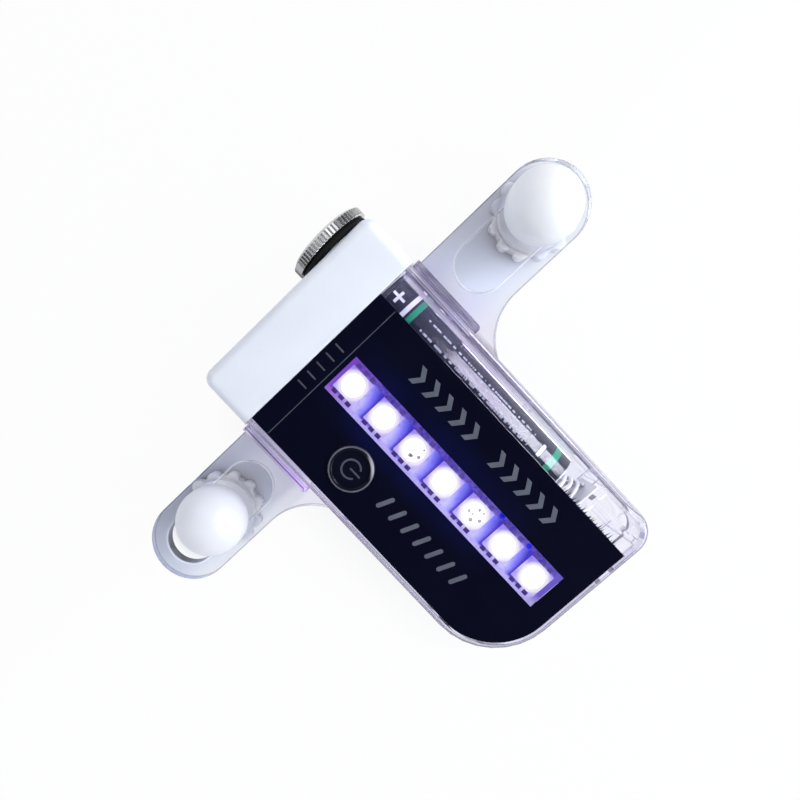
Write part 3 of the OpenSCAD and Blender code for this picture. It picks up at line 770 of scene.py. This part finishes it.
print_dim = ink("label_ink_fine", (0.066, 0.075, 0.1), (0.05, 0.058, 0.08))
# The vias and the lamp chips carry a painted glow; the vias' blue is painted lamp light
via_blue = ink("via_blue", (0.012, 0.02, 0.8), (0.01, 0.012, 0.6), 0.7)
via_dark = ink("via_dark", (0.01, 0.01, 0.3), (0.006, 0.006, 0.2), 0.4)
chip_grey = ink("lamp_chip", (0.36, 0.35, 0.38), (0.3, 0.29, 0.32), 0.35)
lead_metal = lamp_leads()

dress(clear_front, "front_shell")
dress(clear_rear, "rear_shell")
dress(white_cap, "end_cap")
dress(left_white_shaded, "left_knob")
dress(right_white, "right_knob")
dress(white_nut_lit, "left_nut", "right_nut")
dress(saddle, "left_saddle", "right_saddle", "board_spacers")
dress(film, "front_label", "rear_label")
dress(button_plastic(), "power_button")
dress(lit_board(), "front_board", "rear_board")
dress(lamp_body(), "front_leds", "rear_leds")
dress(lamp_lens(), "front_led_lenses", "rear_led_lenses")
dress(lead_metal, "front_led_leads", "rear_led_leads")
dress(dark, "control_chip", "button_switch")
dress(gilt, "board_links", "motion_switch")
dress(cell_wrap(), "battery_sleeve")
dress(tin, "battery_can", "positive_strap", "cap_insert")
dress(dull_tin, "negative_contact")
dress(nickel, "battery_cap")
dress(rubber, "cap_seal")


def add_spring():
    """Round wire wound on the cell's axis, from its plate to the cell's end."""
    low, high = box_mm("battery_spring")
    wire, big, small, turns, sides, steps = 0.7, 3.7, 2.0, 4, 14, 40
    count = turns * steps
    points, faces = [], []
    for i in range(count + 1):
        share = i / count
        angle = 2 * math.pi * turns * share
        mid = big + (small - big) * share
        level = low.y + wire / 2 + (high.y - low.y - wire) * share
        for k in range(sides):
            roll = 2 * math.pi * k / sides
            r = mid + wire / 2 * math.cos(roll)
            points.append((
                cell_x + r * math.cos(angle), level + wire / 2 * math.sin(roll), cell_z - r * math.sin(angle)
            ))
    for i in range(count):
        for k in range(sides):
            a, b = i * sides + k, i * sides + (k + 1) % sides
            faces.append([a, b, b + sides, a + sides])
    faces.append(list(range(sides))[::-1])
    faces.append([count * sides + k for k in range(sides)])
    piece = add_piece("cell_spring", points, faces, dull_tin, "light", True)
    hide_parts("battery_spring")


def add_washer():
    """Card washer on the cell's shoulder, round its button."""
    low, high = sleeve_high.y + 0.04, box_mm("battery_can")[1].y - 0.1
    edge, inner, soft, count = cell_r - 0.05, 3.1, 0.12, 64
    profile = [
        (inner, low), (edge - soft, low), (edge, low + soft),
        (edge, high - soft), (edge - soft, high), (inner, high),
    ]
    n = len(profile)
    points = [
        (cell_x + r * math.sin(2 * math.pi * k / count), y, cell_z + r * math.cos(2 * math.pi * k / count))
        for k in range(count) for r, y in profile
    ]
    faces = [
        [k * n + i, k * n + (i + 1) % n, (k + 1) % count * n + (i + 1) % n, (k + 1) % count * n + i]
        for k in range(count) for i in range(n)
    ]
    add_piece("cell_washer", points, faces, card, "light")


def add_label_prints():
    """Plain marks where the label carries print, on both faces."""
    arrow_x, arrow_top, arrow_step, left_out = 7.7, 10.2, 3.25, 5
    arrow_places = [arrow_top - arrow_step * i for i in range(11) if i != left_out]
    arrows = [chevron(arrow_x, y, 3.4, 1.25, 1.1) for y in arrow_places]
    bar_left, bar_right, bar_top, bar_drop, bar_step = -12.4, -9.95, -2.2, 1.0, 3.05
    bars = [
        stroke([(bar_left, bar_top - bar_step * i), (bar_right, bar_top - bar_drop - bar_step * i)], 0.8)
        for i in range(7)
    ]
    tick_left, tick_step, tick_low, tick_high = -7.6, 2.2, 20.9, 22.7
    tick_places = [tick_left + tick_step * i for i in range(5)]
    ticks = [stroke([(x, tick_low), (x, tick_high)], 0.3) for x in tick_places]
    line_y = 19.79
    line = [stroke([(label_low.x + 0.35, line_y), (label_high.x - 0.3, line_y)], 0.17)]
    back_z, rise = box_mm("rear_label")[0].z, 0.02
    for side, base, top in (("front", face_z, face_z + rise), ("rear", back_z, back_z - rise)):
        add_prints(side + "_label_marks", arrows + bars, base, top, print_pale, "light")
        add_prints(side + "_label_fine_marks", ticks + line, base, top, print_dim, "light")


def add_film_fringe():
    """Ragged lower part of the label's right edge, where the film tore along its cut."""
    down, count, step, half = 45.0, 58, 0.225, 0.13
    x = label_high.x - 0.1
    shapes = []
    for i in range(count):
        y = label_high.y - down - step * i
        long = 0.16 + 1.25 * (math.sin(i * 2.3) * math.sin(i * 5.1 + 1.0)) ** 2
        shapes.append([(x, y - half), (x + long, y - 0.16 + 0.12 * math.sin(i * 3.7)), (x, y + half)])
    add_prints("front_label_fringe", shapes, face_z, face_z + 0.015, film, "light")


def add_power_sign():
    """The usual ring and bar on the button's face."""
    x, y, radius, gap = button_x, button_y, 1.68, math.radians(38)
    turns = [-math.pi / 2 + gap + (2 * math.pi - 2 * gap) * k / 40 for k in range(41)]
    ring = stroke([(x + radius * math.cos(a), y + radius * math.sin(a)) for a in turns], 0.36)
    bar = stroke([(x, y + 0.1), (x, y - 1.0), (x, y - 2.0)], 0.32)
    add_prints("power_sign", [ring, bar], face_z, face_z + 0.02, print_dim, "button")


def add_vias():
    """Two plated holes beside the lamps, the larger with its drilled middle showing."""
    top = box_mm("front_board")[1].z
    larger, smaller = (1.9, -18.7), (1.65, -25.85)
    rims = [disc(*larger, 0.6), disc(*smaller, 0.5)]
    add_prints("board_via_rims", rims, top, top + 0.03, via_blue, "light")
    add_prints("board_via_bores", [disc(*larger, 0.24)], top + 0.03, top + 0.04, via_dark, "light")


def add_lamp_details():
    """Solder pads under the leads, and the chips that show in two of the lamps, on both sides."""
    rows = [lamp_mid + lamp_pitch * (lamp_count // 2 - i) for i in range(lamp_count)]
    lead_step, pad_half = 1.65, 0.52
    pads = []
    for row in rows:
        for y in (row - lead_step, row, row + lead_step):
            low, high = y - pad_half, y + pad_half
            for a, b in ((-3.4, -2.52), (2.52, 3.3)):
                x0, x1 = lamp_x + a, lamp_x + b
                pads.append([(x0, low), (x1, low), (x1, high), (x0, high)])

    # Chips from the middle of the third and fifth lamps: x, y and size
    few = ((-1.05, -0.12, 0.2), (-0.95, -0.4, 0.17), (-0.24, -1.45, 0.2), (1.25, -1.2, 0.13))
    many = (
        (-0.18, 1.05, 0.17), (-0.1, 0.2, 0.12), (-1.1, -0.3, 0.22),
        (-0.13, -1.55, 0.2), (1.2, -0.15, 0.16), (1.3, -1.1, 0.12),
    )
    chips = [
        disc(lamp_x + x, row + y, 1.8 * size, 12)
        for row, spots in ((rows[2], few), (rows[4], many)) for x, y, size in spots
    ]
    for side, end, way in (("front", 1, 1), ("rear", 0, -1)):
        board_z = box_mm(side + "_board")[end].z
        lens_z = box_mm(side + "_led_lenses")[end].z
        pad_z, chip_z = board_z + 0.015 * way, lens_z + 0.01 * way
        add_prints(side + "_lamp_pads", pads, board_z, pad_z, lead_metal, "light")
        add_prints(side + "_lamp_chips", chips, lens_z, chip_z, chip_grey, "light")


add_spring()
add_washer()
add_vias()
add_lamp_details()
add_label_prints()
add_film_fringe()
add_power_sign()


def floor_paper():
    """White paper: plain white to the eye, but grey under the wings, with a painted shadow by the nuts and
    painted shade towards the wings' +y side.
    """
    look = Look("floor_paper")
    out = look.away(look.x, 0.0)
    wing_line_mid, wing_line_half = wing_high.x - 17.0, 9.0
    aside = look.past(look.away(out, wing_line_mid), wing_line_half)
    from_wing = look.hypot(aside, look.away(look.y, slot_y))
    painted_nut_shadow = look.times(
        look.span(look.crevice(6.0), 0.3, 0.97, 0.9, 0.0), look.span(look.y, slot_y - 5.0, slot_y, 0.25, 1.0)
    )
    # Paper tone with painted shade: bluish under the wings, a painted shadow by the nuts, and darker towards +y
    tone = look.coats(
        look.mix(look.noise(60, 2), (0.79, 0.825, 0.905), (0.82, 0.85, 0.925)),
        (look.span(from_wing, 5.0, 9.0, 1.0, 0.0), (0.73, 0.79, 0.94)),
        (painted_nut_shadow, (0.2, 0.19, 0.24)),
        (look.span(look.y, slot_y - 1.0, slot_y + 7.5, 0.0, 0.48), (0.42, 0.41, 0.5)),
    )
    paper = look.add("ShaderNodeBsdfDiffuse")
    look.link(tone, paper.inputs["Color"])
    white = look.add("ShaderNodeEmission")
    white.inputs["Color"].default_value = (1, 1, 1, 1)
    white.inputs["Strength"].default_value = 1.0

    # Share of plain white as the camera sees the floor: less by the wings and close to the case
    middle_y, half_y = (case_low.y + case_high.y) / 2, (case_high.y - case_low.y) / 2
    from_case = look.hypot(look.past(out, case_high.x), look.past(look.away(look.y, middle_y), half_y))
    open_white = look.times(
        look.span(from_wing, 4.6, 8.0, 0.12, 0.96, True), look.span(from_case, 0.0, 9.0, 0.9, 1.0)
    )

    # Share of plain white through the plastic: little under the wings, with painted light at the left wing's
    # base and on the wings' low side
    tip_from, tip_to, root_from, root_to = -44.0, -50.0, -35.0, -27.0
    left_tip = look.span(look.x, tip_from, tip_to, 0.0, 4.0)
    over = look.less(look.less(look.y, slot_y), look.span(look.x, -10.0, 10.0, 1.0, 0.4))
    from_middle = look.hypot(look.past(aside, left_tip), over)
    left_root = look.times(
        look.span(look.x, root_from, root_to, 0.05, 0.5),
        look.span(look.y, slot_y + 1.0, slot_y + 6.0, 1.0, 0.55),
    )
    seen_white = look.most(
        look.span(from_middle, 7.0, 10.5, 0.05, 0.95, True), left_root,
        look.span(look.y, slot_y - 2.5, slot_y - 7.0, 0.0, 0.75),
    )
    path = look.add("ShaderNodeLightPath")
    through = look.most(path.outputs["Is Glossy Ray"], path.outputs["Is Transmission Ray"])
    share = look.most(look.times(path.outputs["Is Camera Ray"], open_white), look.times(through, seen_white))
    return look.done(look.blend(share, paper.outputs[0], white.outputs[0]))


def add_floor():
    """Wide round floor just below the light, in metres."""
    radius, count = 1.5, 64
    level = cad_box[0].z - 0.06 * MM
    mesh = bpy.data.meshes.new("floor")
    mesh.from_pydata([(x, y, level) for x, y in disc(0.0, 0.0, radius, count)], [], [list(range(count))])
    mesh.materials.append(floor_paper())
    floor = bpy.data.objects.new("floor", mesh)
    scene.collection.objects.link(floor)


def add_world():
    """Studio: white round the horizon, dark overhead, dimmer on one side, white to the eye."""
    world = bpy.data.worlds.new("studio")
    scene.world = world
    world.use_nodes = True
    tree = world.node_tree
    tree.nodes.clear()
    out = tree.nodes.new("ShaderNodeOutputWorld")
    place = tree.nodes.new("ShaderNodeTexCoord")
    split = tree.nodes.new("ShaderNodeSeparateXYZ")
    ramp = tree.nodes.new("ShaderNodeValToRGB")
    stops = ramp.color_ramp.elements
    stops[0].position, stops[0].color = 0.0, (0.92, 0.93, 0.97, 1)
    stops[1].position, stops[1].color = 0.93, (0.07, 0.07, 0.085, 1)
    for height, level in ((0.28, 0.7), (0.45, 0.32), (0.8, 0.24)):
        stop = stops.new(height)
        stop.color = (level, level * 1.015, level * 1.05, 1)
    side = tree.nodes.new("ShaderNodeVectorMath")
    side.operation = "DOT_PRODUCT"
    side.inputs[1].default_value = (0.73, -0.69, 0.0)
    lean = tree.nodes.new("ShaderNodeMapRange")
    for key, number in (("From Min", -0.9), ("From Max", 0.5), ("To Min", 0.65), ("To Max", 1.0)):
        lean.inputs[key].default_value = number
    dim = tree.nodes.new("ShaderNodeBackground")
    white = tree.nodes.new("ShaderNodeBackground")
    white.inputs["Color"].default_value = (1, 1, 1, 1)
    path = tree.nodes.new("ShaderNodeLightPath")
    both = tree.nodes.new("ShaderNodeMixShader")
    link = tree.links.new
    link(place.outputs["Generated"], split.inputs[0])
    link(place.outputs["Generated"], side.inputs[0])
    link(split.outputs["Z"], ramp.inputs[0])
    link(side.outputs["Value"], lean.inputs["Value"])
    link(ramp.outputs[0], dim.inputs["Color"])
    link(lean.outputs[0], dim.inputs["Strength"])
    link(path.outputs["Is Camera Ray"], both.inputs[0])
    link(dim.outputs[0], both.inputs[1])
    link(white.outputs[0], both.inputs[2])
    link(both.outputs[0], out.inputs["Surface"])


def add_lamp(name, place, size, power, colour):
    """Soft rectangular studio lamp aimed at the light's middle, its second side along Y."""
    aim = Vector((0.0, 0.0, 0.008))
    lamp = bpy.data.lights.new(name, "AREA")
    lamp.shape = "RECTANGLE"
    lamp.size, lamp.size_y = size
    lamp.energy = power
    lamp.color = colour
    made = bpy.data.objects.new(name, lamp)
    back = (Vector(place) - aim).normalized()
    up = (Vector((0, 1, 0)) - back * back.y).normalized()
    made.matrix_world = Matrix.Translation(place) @ Matrix((up.cross(back), up, back)).transposed().to_4x4()
    scene.collection.objects.link(made)


def add_camera():
    """The photograph's view: nearly straight down, turned by about 43 degrees."""
    data = bpy.data.cameras.new("camera")
    data.sensor_width = 36
    data.lens = 28.6565
    data.shift_x, data.shift_y = 0.065, 0.052
    data.clip_start, data.clip_end = 0.005, 20
    camera = bpy.data.objects.new("camera", data)
    right = (0.72595715, -0.68544522, -0.05613435)
    up = (0.67770026, 0.72686828, -0.11128729)
    back = (0.11708362, 0.04274754, 0.99220163)
    place = (0.00408352, 0.01400869, 0.12466473)
    camera.matrix_world = Matrix.Translation(place) @ Matrix((right, up, back)).transposed().to_4x4()
    scene.collection.objects.link(camera)
    scene.camera = camera


add_floor()
add_world()
cool = (0.97, 0.985, 1.0)
add_lamp("key", (0.3225, -0.078, 0.28), (0.31, 0.13), 1.1, (0.985, 0.99, 1.0))
add_lamp("front", (0.2, -0.32, 0.24), (0.3, 0.2), 1.1, cool)
add_lamp("left", (-0.5, 0.136, 0.375), (0.39, 0.45), 1.22, cool)
add_lamp("back", (0.05, 0.36, 0.24), (0.3, 0.2), 0.25, cool)
add_camera()

scene.view_settings.view_transform = "Standard"
